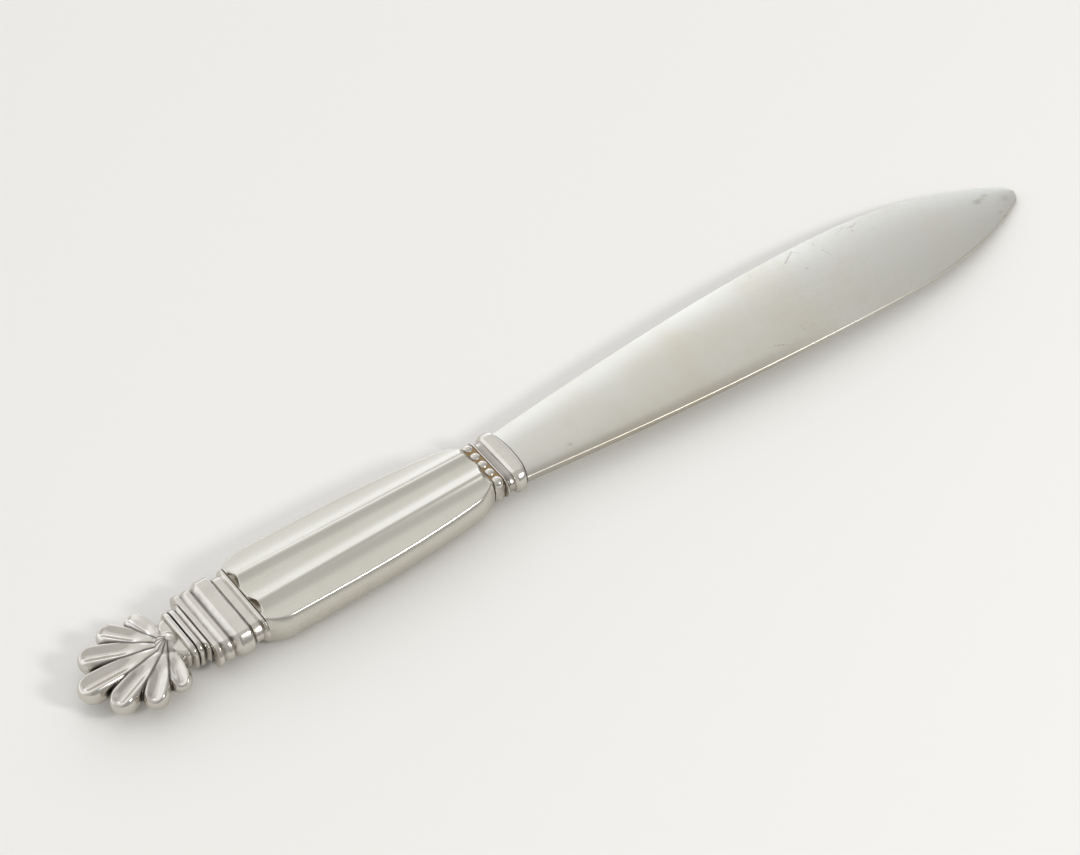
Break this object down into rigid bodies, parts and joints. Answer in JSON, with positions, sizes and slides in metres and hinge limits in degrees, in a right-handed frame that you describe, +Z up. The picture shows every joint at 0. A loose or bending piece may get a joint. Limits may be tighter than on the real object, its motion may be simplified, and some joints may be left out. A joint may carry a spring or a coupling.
{
  "type": "letter opener",
  "caption": "Silver letter opener with a leaf-shaped blade, beaded neck, fluted hollow handle, moulded tail collar and a cast palmette finial, for slitting envelopes at a desk.",
  "frame": {"origin": "on the desk plane, below the middle of the opener's length and width", "axes": "+X along the opener towards the blade's tip, +Y to the left seen from the tail, +Z up from the desk"},
  "size_m": [0.2, 0.021, 0.0082],
  "materials": {
    "blade_silver": "satin-polished sterling silver with fine scratches",
    "struck_silver": "polished die-struck sterling silver",
    "cast_silver": "polished cast sterling silver with oxidised recesses",
    "cement": "hidden pitch and plaster cement"
  },
  "bodies": {
    "root": {"blade": "blade_silver", "bolster": "cast_silver", "bead_wire": "cast_silver", "handle_front_half": "struck_silver", "handle_back_half": "struck_silver", "handle_filling": "cement", "tail_collar": "cast_silver", "finial": "cast_silver", "finial_tie": "cast_silver", "finial_peg": "cast_silver"}
  },
  "joints": []
}
